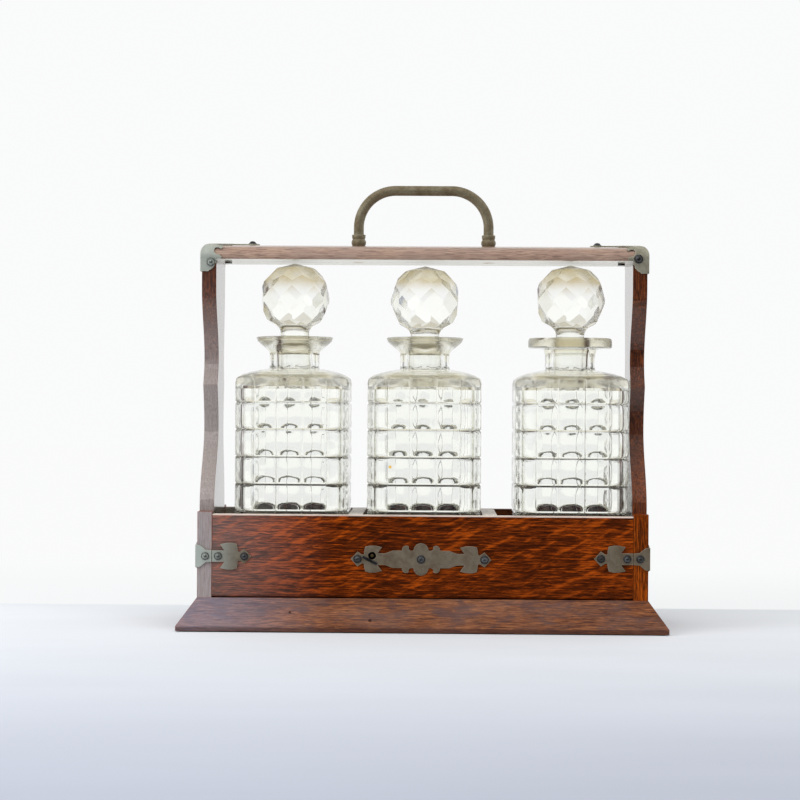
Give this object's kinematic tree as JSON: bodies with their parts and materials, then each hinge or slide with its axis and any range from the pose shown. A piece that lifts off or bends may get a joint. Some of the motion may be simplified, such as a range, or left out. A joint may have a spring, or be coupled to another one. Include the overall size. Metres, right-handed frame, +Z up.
{
  "type": "antique tantalus",
  "caption": "Oak locking frame with a fall front, strap mounts, a top bar with a carrying handle, and square cut-glass decanters with ball stoppers.",
  "frame": {"origin": "centre of the foot's flat underside, on the table", "axes": "+X along the front towards its right-hand end as one faces it, +Y from the front to the back, +Z up; the fall front faces -Y"},
  "size_m": [0.355, 0.134, 0.3284],
  "materials": {
    "oak_plinth": "french polished quarter-sawn oak, worn at the edges",
    "oak_case": "french polished oak",
    "oak_panel": "french polished quarter-sawn oak with ray flecks",
    "oak_inside": "dull stained oak",
    "plated_mount": "worn electroplate with grey-green tarnish",
    "stud_metal": "dark tarnished plate",
    "handle_metal": "olive-brown patinated metal",
    "lock_brass": "dull brass",
    "baize": "dark green baize",
    "cut_glass": "clear cut lead glass"
  },
  "bodies": {
    "frame": {"base_pad": "baize", "plinth_front": "oak_plinth", "plinth_back": "oak_plinth", "plinth_left": "oak_plinth", "plinth_right": "oak_plinth", "base_board": "oak_inside", "end_left": "oak_case", "end_right": "oak_case", "post_front_left": "oak_case", "post_front_right": "oak_case", "post_back_left": "oak_case", "post_back_right": "oak_case", "back_board": "oak_panel", "floor_board": "oak_inside", "divider_left": "oak_inside", "divider_right": "oak_inside", "lining_left": "baize", "lining_middle": "baize", "lining_right": "baize", "top_bar": "oak_case", "bar_screws": "lock_brass", "corner_left": "plated_mount", "corner_right": "plated_mount", "corner_studs": "stud_metal", "under_nuts": "stud_metal", "handle": "handle_metal", "handle_collars": "handle_metal", "handle_nuts": "lock_brass", "case_strap_left": "plated_mount", "case_strap_right": "plated_mount", "case_studs": "stud_metal", "lock_keep": "lock_brass", "keep_screws": "lock_brass"},
    "front": {"front_panel": "oak_panel", "hinge_pins": "lock_brass", "panel_strap_left": "plated_mount", "panel_strap_right": "plated_mount", "strap_studs": "stud_metal", "lock_plate": "plated_mount", "plate_studs": "stud_metal", "lock_case": "lock_brass", "lock_cap": "lock_brass", "lock_screws": "lock_brass", "lock_pin": "lock_brass"},
    "lock_bolt": {"lock_bolt": "lock_brass"},
    "keyhole_cover": {"keyhole_cover": "plated_mount"},
    "decanter_left": {"decanter_left": "cut_glass"},
    "decanter_middle": {"decanter_middle": "cut_glass"},
    "decanter_right": {"decanter_right": "cut_glass"},
    "stopper_left": {"stopper_left": "cut_glass"},
    "stopper_middle": {"stopper_middle": "cut_glass"},
    "stopper_right": {"stopper_right": "cut_glass"}
  },
  "joints": [
    {"name": "front_fall", "type": "hinge", "parent": "frame", "child": "front", "pos_m": [0, -0.0502, 0.027], "axis": [1, 0, 0], "range_deg": [0, 90]},
    {"name": "bolt_throw", "type": "slide", "parent": "front", "child": "lock_bolt", "axis": [-1, 0, 0], "range_m": [0, 0.006]},
    {"name": "cover_swing", "type": "hinge", "parent": "front", "child": "keyhole_cover", "pos_m": [-0.0426, -0.055, 0.0539], "axis": [0, -1, 0], "range_deg": [0, 110]},
    {"name": "decanter_left_lift", "type": "slide", "parent": "frame", "child": "decanter_left", "axis": [0, 0, 1], "range_m": [0, 0.0007]},
    {"name": "decanter_middle_lift", "type": "slide", "parent": "frame", "child": "decanter_middle", "axis": [0, 0, 1], "range_m": [0, 0.0022]},
    {"name": "decanter_right_lift", "type": "slide", "parent": "frame", "child": "decanter_right", "axis": [0, 0, 1], "range_m": [0, 0.001]},
    {"name": "stopper_left_turn", "type": "hinge", "parent": "decanter_left", "child": "stopper_left", "pos_m": [-0.097, 0, 0.2146], "axis": [0, 0, 1], "continuous": true},
    {"name": "stopper_middle_turn", "type": "hinge", "parent": "decanter_middle", "child": "stopper_middle", "pos_m": [0.0006, 0, 0.2146], "axis": [0, 0, 1], "continuous": true},
    {"name": "stopper_right_turn", "type": "hinge", "parent": "decanter_right", "child": "stopper_right", "pos_m": [0.1092, 0, 0.2146], "axis": [0, 0, 1], "continuous": true}
  ]
}
